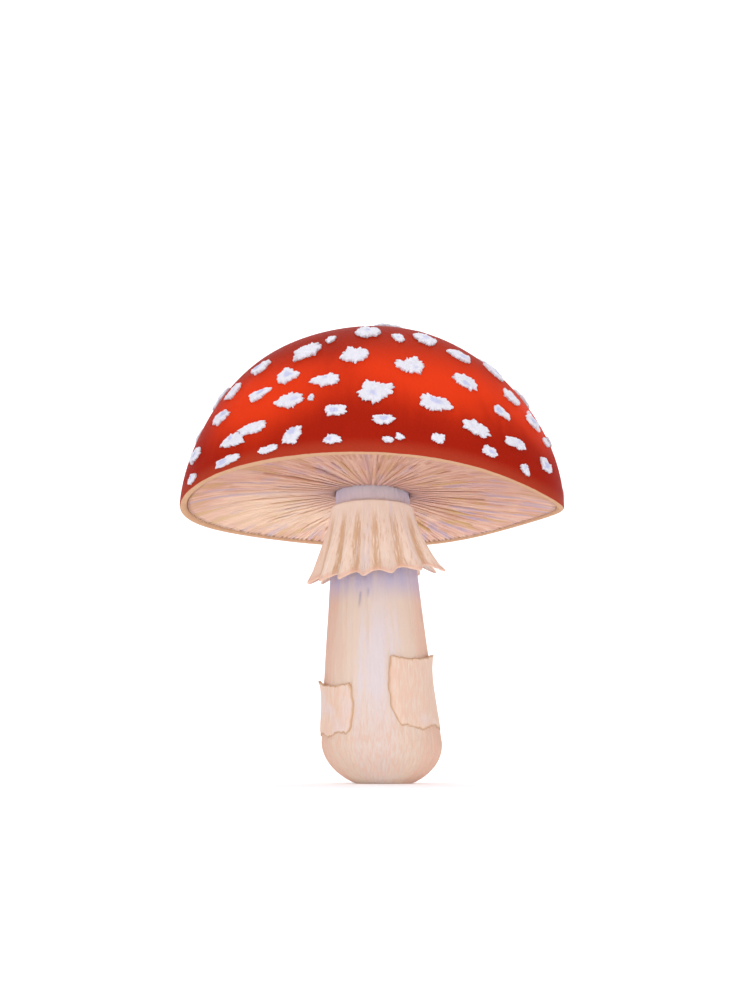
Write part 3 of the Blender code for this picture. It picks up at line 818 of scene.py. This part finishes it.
def stem_material(settings):
    stem = settings.stem
    material, feed, place = new_material("stem_flesh", Roughness=0.72)
    centre = (stem.lean * 0.5, 0.0, 0.0)
    across = place.level_direction(centre).part(0)
    height = place.part(2)
    broad = round_axis(place, centre, 5.0).noise(5.0, 4.0, 0.6)
    fine = round_axis(place, centre, 12.0).noise(28.0, 4.0, 0.65)
    # Painted shade: the two sides, where the stem turns away, are darker and pinker
    side = (across * across + (broad - 0.5) * 0.9 + (fine - 0.5) * 0.3).between(0.25, 0.95)
    # Painted highlight: a pale streak down the front and back of the stem, strongest half way up
    painted_centre_highlight = (across * across * 1.4 + (broad - 0.5) * 1.0 + (fine - 0.5) * 0.4).between(0.34, -0.05)
    low = height.between(30 * MM, 12 * MM)
    base = (side * 0.75).blend(stem.cream, stem.blush_and_side_shade)
    painted_shine = painted_centre_highlight * height.between(64 * MM, 40 * MM) * (1 - low * 0.6)
    base = (painted_shine * 0.75).blend(base, stem.light)
    base = (low * fine.between(0.40, 0.62) * 0.45).blend(base, stem.blush_and_side_shade)
    # Painted shadow: lavender below the ring's hem and round the stem's top under the gills
    ring_shadow_band = height.between(52 * MM, 61 * MM) * height.between(84 * MM, 80 * MM)
    ring_shadow = ring_shadow_band * (0.7 + (broad - 0.5) * 1.2)
    cap_shadow = height.between(83 * MM, 88 * MM) * (across * across * 0.4 + 0.12)
    # Painted light: the stem's top, in the shadow of the gills, is lightened towards the highlight colour
    base = (height.between(82 * MM, 85 * MM) * 0.8).blend(base, stem.light)
    base = ring_shadow.maths("MAXIMUM", ring_shadow, cap_shadow).blend(base, stem.lavender_and_painted_shade)
    # Painted shade: the splits in the stem are darker lavender
    split = place.attribute("split")
    feed("Base Color", (split * 0.7).blend(base, tuple(c * 0.7 for c in stem.lavender_and_painted_shade)))
    feed("Normal", bump(fine + round_axis(place, centre, 20.0).noise(90.0, 3.0) * 0.4, 0.35 * MM))
    return material


def build_stem(settings):
    """The shaft and foot: height by turn, with long fibres and a few short splits in its surface."""
    turn = turns(288)
    top = stem_top(settings)
    draw = random.Random(5)
    height = top * (np.linspace(1, 0, 170)[:, None] ** 1.12)
    radius = stem_radius(settings, height) + 0 * turn
    grown = smooth(0, 6 * MM, height)
    fibre = ripples(draw, turn, (17, 23, 31, 43, 56), height / MM, 0.12) * 0.22 * MM
    slow = ripples(draw, turn, (2, 3, 5), height / MM, 0.05) * 0.25 * MM
    radius = radius + (fibre + slow) * grown * smooth(top, top - 14 * MM, height)
    split = 0.0
    for where, low, high in SPLITS:
        away = wrapped(turn - math.radians(where) - (height - low * MM) * SPLIT_TWIST) * radius
        inside = smooth(low * MM, (low + 3) * MM, height) * smooth(high * MM, (high - 1) * MM, height)
        split = split + np.exp(-((away / (0.32 * MM)) ** 2)) * inside
    radius = radius - 0.35 * MM * split
    rim_shares = np.array([0.4, 0.8])[:, None]
    upper = leaned(settings, rim_shares * stem_radius(settings, top), turn, top)
    side = leaned(settings, radius, turn, height)
    lower = leaned(settings, rim_shares[::-1] * settings.stem.flat_radius, turn, 0.0)
    poles = np.stack([leaned(settings, 0.0, 0.0, top), leaned(settings, 0.0, 0.0, 0.0)])
    marks = {"split": np.vstack([0 * turn, 0 * turn, split + 0 * radius, 0 * turn, 0 * turn])}
    vertices, faces = lattice(np.vstack([upper, side, lower]), poles=poles)
    make_piece("stem_shaft", vertices, faces, stem_material(settings), "stem", marks)


def flap_material(settings):
    stem = settings.stem
    material, feed, place = new_material("flap_veil", Roughness=0.75)
    rim = place.attribute("rim")
    fine = round_axis(place, (0.0, 0.0, 0.0), 12.0).noise(24.0, 4.0, 0.6)
    clouds = place.noise(120.0, 3.0)
    peach = tuple(0.5 * (a + b) for a, b in zip(stem.cream, stem.blush_and_side_shade))
    base = fine.between(0.30, 0.60).blend(stem.cream, peach)
    base = (clouds.between(0.50, 0.68) * 0.35).blend(base, stem.light)
    edge = (rim + (clouds - 0.5) * 0.6).between(0.55, 1.05)
    feed("Base Color", (edge * 0.75).blend(base, stem.ochre))
    feed("Normal", bump(fine, 0.35 * MM))
    return material


def build_flap(settings, material, index, flap):
    """A torn scale of veil on the foot: a grid across and along, closed round its edges.

    Its outer face stands off the stem by 0.6 mm and curls away at one upper corner. Its lower edge is ragged,
    and its corners on the other side are cut off round. The back lies 0.9 to 1.5 mm nearer to the axis.
    """
    name, middle, half_breadth, low, high, side = flap
    draw = random.Random(31 + index)
    across = np.linspace(-1, 1, 61)
    along = np.linspace(1, 0, 49)[:, None]
    outward = (1 + side * across) / 2
    tear = 0.05 * ripples(draw, math.pi * across, (3, 5, 8, 13))
    side_tear = 0.035 * ripples(draw, math.pi * along, (3, 5, 8)) * np.abs(across) ** 3
    rags = MM * (0.6 * np.cos(5 * across + index) + 8 * tear) * (1 - along) ** 2
    top_edge = 1.6 * MM * (2 * outward**2 - 0.5 + (1 - outward) ** 3) * along + 7 * MM * tear * along**3
    height = (low + (high - low) * along) * MM - rags + top_edge
    cut = 1 - (0.24 * (1 - along) ** 6 + 0.14 * along**7) * (1 - outward)
    turn = np.radians(middle + half_breadth * (across * cut + side_tear))
    border = np.maximum(np.abs(across), np.abs(2 * along - 1))
    near_edge = smooth(0.80, 1.0, border)
    curl = 1.2 * MM * along**5 * (0.15 + outward**3)
    off = 0.60 * MM + curl + 0.12 * MM * ripples(draw, 3 * across, (2, 3, 5))
    off = off - 0.25 * MM * near_edge * (1 - along**4)
    radius = stem_radius(settings, height) + off
    front = leaned(settings, radius, turn, height)
    back = leaned(settings, radius - 0.9 * MM - 0.6 * MM * (1 - along**3), turn, height)
    rows, columns = front.shape[:2]
    index_of = np.arange(rows * columns).reshape(rows, columns)
    loop = np.concatenate([index_of[0, :-1], index_of[:-1, -1], index_of[-1, :0:-1], index_of[:0:-1, 0]])
    front_points, faces = lattice(front, closed_columns=False)
    back_faces = [[corner + rows * columns for corner in face[::-1]] for face in faces]
    following = np.roll(loop, -1)
    rim_faces = np.stack([loop, following, following + rows * columns, loop + rows * columns], axis=-1)
    vertices = np.vstack([front_points, back.reshape(-1, 3)])
    marks = {"rim": np.concatenate([smooth(0.84, 1.0, border).ravel()] * 2)}
    every_face = faces + back_faces + rim_faces.tolist()
    make_piece(f"veil_flap_{name}", vertices, every_face, material, "stem", marks)


def build_flaps(settings):
    """Every flap, all of one material."""
    material = flap_material(settings)
    for index, flap in enumerate(FLAPS):
        build_flap(settings, material, index, flap)


# Ring

def ring_material(settings):
    ring = settings.ring
    material, feed, place = new_material("ring_veil", Roughness=0.66)
    fold, share = place.attribute("fold"), place.attribute("share")
    centre = (settings.stem.lean * 0.85, 0.0, 0.0)
    fine = round_axis(place, centre, 9.0).noise(30.0, 4.0, 0.6)
    broad = round_axis(place, centre, 5.0).noise(8.0, 3.0, 0.6)
    # Painted shade: the valleys between the folds are darker, and so are some random streaks on the upper
    # part
    hollow = (fold + (fine - 0.5) * 0.5).between(0.34, 0.0) * share.between(0.05, 0.40)
    base = (hollow * 0.85).blend(ring.cream, ring.valley)
    # Painted highlight: lighter streaks in the stem's highlight colour, and thin shine streaks
    base = (broad.between(0.52, 0.70) * 0.5).blend(base, settings.stem.light)
    base = (fine.between(0.46, 0.34) * share.between(0.0, 0.5) * 0.5).blend(base, ring.valley)
    base = (fine.between(0.54, 0.66) * 0.6).blend(base, ring.painted_shine)
    # Painted shade: the left and right sides of the skirt are pinker
    across = place.level_direction(centre).part(0)
    side = (across * across + (fine - 0.5) * 0.3).between(0.78, 1.02)
    base = (side * 0.55).blend(base, ring.hem_tint_and_side_shade)
    hem = (share + (fine - 0.5) * 0.05).between(0.93, 1.0)
    feed("Base Color", (hem * 0.7).blend(base, ring.hem_tint_and_side_shade))
    feed("Normal", bump(fine, 0.3 * MM))
    return material


def build_ring(settings):
    """The skirt: outer face, hem, inner face and upper edge in one closed grid, way down by turn.

    The outer face stands off the stem by a flare that grows with the share of the way down to the power 1.7,
    plus pleats whose depth grows with the power 1.5. The hem hangs lower on the outer folds, in front and at
    the left.
    """
    ring, turn = settings.ring, turns(480)
    draw = random.Random(41)
    warp = turn + 0.05 * np.sin(2 * turn + 1.0) + 0.03 * np.sin(3 * turn + 0.4)
    fold = np.cos(ring.pleats * (warp - ring.pleat_turn))
    fold = fold + 0.18 * np.cos(2 * ring.pleats * (warp - ring.pleat_turn)) - 0.1
    fold = fold * (1 + 0.22 * ripples(draw, turn, (3, 4, 7)))
    crease = ripples(draw, turn, (33, 41, 52))
    down = np.linspace(0, 1, 56)[:, None]
    height = ring.top + (ring.hem - ring.top) * down
    drop = down**3 * (ring.hem_wave * fold + ring.hem_front * np.cos(turn) - ring.hem_left * np.sin(turn))
    base = stem_radius(settings, height) + CLEARANCE + ring.thickness
    flare = ring.flare * down**1.7 + ring.lean * down * (1 + np.sin(turn)) / 2
    outer = base + flare + ring.pleat_depth * fold * down**1.5 + 0.22 * MM * crease * down
    outer = outer + 0.5 * MM * smooth(0.86, 1.0, down)
    thin = ring.thickness * (1 - 0.35 * down)
    level = height - drop + 0 * turn
    hem_roll = np.radians(np.array([45.0, 90.0, 135.0]))[:, None]
    hem_middle, hem_half = outer[-1] - thin[-1] / 2, thin[-1] / 2
    hem_radius = hem_middle + hem_half * np.cos(hem_roll)
    hem_level = level[-1] - hem_half * np.sin(hem_roll)
    top_radius = outer[0] - thin[0] / 2 + thin[0] / 2 * np.cos(hem_roll[::-1])
    top_level = level[0] + thin[0] / 2 * np.sin(hem_roll[::-1])
    inner = outer - thin
    radius = np.vstack([outer, hem_radius, inner[::-1], top_radius])
    levels = np.vstack([level, hem_level, level[::-1], top_level])
    points = leaned(settings, radius, turn, levels)
    blank = np.ones((3, 1))
    folds = np.vstack([fold + 0 * down, fold * blank, fold + 0 * down, fold * blank]) / 2 + 0.5
    shares = np.vstack([down, blank, down[::-1], 0 * blank]) + 0 * turn
    vertices, faces = lattice(points, closed_rows=True)
    marks = {"fold": folds, "share": shares}
    make_piece("ring_skirt", vertices, faces, ring_material(settings), "ring", marks)


# Stage

def build_sweep(settings):
    """A pale floor that curves up into a wall behind: a path of straight, arc and straight, made wide."""
    arc = np.radians(np.linspace(0, 90, 24))
    bend_y, bend_z = SWEEP_BACK + SWEEP_BEND * np.sin(arc), SWEEP_BEND * (1 - np.cos(arc))
    path_y = np.concatenate([[-SWEEP_REACH, SWEEP_BACK], bend_y, [SWEEP_BACK + SWEEP_BEND]])
    path_z = np.concatenate([[0.0, 0.0], bend_z, [SWEEP_TOP]])
    side = np.linspace(-SWEEP_REACH, SWEEP_REACH, 9)
    grid = np.stack(np.broadcast_arrays(side, path_y[:, None], path_z[:, None] - SWEEP_DROP), axis=-1)
    vertices, faces = lattice(grid[:, ::-1], closed_columns=False)
    shade = settings.stage.floor
    glow = {"Emission_Color": (*shade, 1.0), "Emission_Strength": 0.22}
    material, feed, place = new_material("sweep_paint", Roughness=0.9, **glow)
    feed("Base Color", place.noise(2.0).blend(shade, tuple(0.985 * c for c in shade)))
    sweep = make_surface("studio_sweep", vertices, faces, material)


def add_light(name, watts, size, place, target, tint):
    """A square area light at a place, turned towards a target."""
    data = bpy.data.lights.new(name, "AREA")
    data.energy = watts
    data.size = size
    data.color = tint
    light = add_object(name, data)
    away = np.array(place) - np.array(target)
    flat = math.hypot(away[0], away[1])
    light.location = place
    light.rotation_euler = (math.atan2(flat, away[2]), 0, math.atan2(away[0], -away[1]))


def add_camera(stage):
    data = bpy.data.cameras.new("camera")
    data.lens = stage.lens
    data.sensor_fit = "AUTO"
    data.clip_start = 0.01
    camera = add_object("camera", data)
    camera.location = (stage.camera_side, -stage.camera_distance, stage.camera_height)
    camera.rotation_euler = (math.pi / 2 + stage.camera_pitch, 0, 0)
    bpy.context.scene.camera = camera


def add_world():
    world = bpy.data.worlds.new("studio_air")
    world.use_nodes = True
    background = world.node_tree.nodes["Background"]
    background.inputs["Color"].default_value = (0.90, 0.91, 1.0, 1.0)
    background.inputs["Strength"].default_value = 0.50
    bpy.context.scene.world = world


def build_stage(settings):
    """The camera, the sweep, the air and the lights."""
    add_camera(settings.stage)
    build_sweep(settings)
    add_world()
    bpy.context.scene.view_settings.view_transform = "Standard"
    for light in LIGHTS:
        add_light(*light)


# Add-on

class MUSHROOM_OT_cap(bpy.types.Operator):
    """Build the cap's skin, lip and flesh"""

    bl_idname = "mushroom.cap"
    bl_label = "Cap"

    def execute(self, context):
        build_cap(context.scene.mushroom)
        return {"FINISHED"}


class MUSHROOM_OT_warts(bpy.types.Operator):
    """Build the torn white warts on the cap"""

    bl_idname = "mushroom.warts"
    bl_label = "Warts"

    def execute(self, context):
        build_warts(context.scene.mushroom)
        return {"FINISHED"}


class MUSHROOM_OT_gills(bpy.types.Operator):
    """Build the gills under the cap"""

    bl_idname = "mushroom.gills"
    bl_label = "Gills"

    def execute(self, context):
        build_gills(context.scene.mushroom)
        return {"FINISHED"}


class MUSHROOM_OT_stem(bpy.types.Operator):
    """Build the stem and its foot"""

    bl_idname = "mushroom.stem"
    bl_label = "Stem"

    def execute(self, context):
        build_stem(context.scene.mushroom)
        return {"FINISHED"}


class MUSHROOM_OT_flaps(bpy.types.Operator):
    """Build the flaps of torn veil on the foot"""

    bl_idname = "mushroom.flaps"
    bl_label = "Veil flaps"

    def execute(self, context):
        build_flaps(context.scene.mushroom)
        return {"FINISHED"}


class MUSHROOM_OT_ring(bpy.types.Operator):
    """Build the pleated ring"""

    bl_idname = "mushroom.ring"
    bl_label = "Ring"

    def execute(self, context):
        build_ring(context.scene.mushroom)
        return {"FINISHED"}


class MUSHROOM_OT_stage(bpy.types.Operator):
    """Set up the floor, the lights and the camera"""

    bl_idname = "mushroom.stage"
    bl_label = "Stage"

    def execute(self, context):
        build_stage(context.scene.mushroom)
        return {"FINISHED"}


class MUSHROOM_PT_sidebar(bpy.types.Panel):
    """Lists the settings and the operators"""

    bl_label = "Fly agaric"
    bl_space_type = "VIEW_3D"
    bl_region_type = "UI"
    bl_category = "Mushroom"

    def draw(self, context):
        settings = context.scene.mushroom
        for operator in OPERATORS:
            self.layout.operator(operator.bl_idname)
        for part in ("cap", "warts", "gills", "stem", "ring", "stage"):
            group = getattr(settings, part)
            box = self.layout.box()
            for name in group.bl_rna.properties.keys():
                if name not in ("rna_type", "name"):
                    box.prop(group, name)


PARTS = (CapSettings, WartSettings, GillSettings, StemSettings, RingSettings, StageSettings)
OPERATORS = (
    MUSHROOM_OT_stage,
    MUSHROOM_OT_cap,
    MUSHROOM_OT_warts,
    MUSHROOM_OT_gills,
    MUSHROOM_OT_stem,
    MUSHROOM_OT_flaps,
    MUSHROOM_OT_ring,
)
CLASSES = (*PARTS, MushroomSettings, *OPERATORS, MUSHROOM_PT_sidebar)


def register():
    for kind in CLASSES:
        bpy.utils.register_class(kind)
    bpy.types.Scene.mushroom = PointerProperty(type=MushroomSettings)


def unregister():
    del bpy.types.Scene.mushroom
    for kind in reversed(CLASSES):
        bpy.utils.unregister_class(kind)


def main():
    register()
    bpy.ops.mushroom.stage()
    bpy.ops.mushroom.cap()
    bpy.ops.mushroom.warts()
    bpy.ops.mushroom.gills()
    bpy.ops.mushroom.stem()
    bpy.ops.mushroom.flaps()
    bpy.ops.mushroom.ring()


if __name__ == "__main__":
    main()
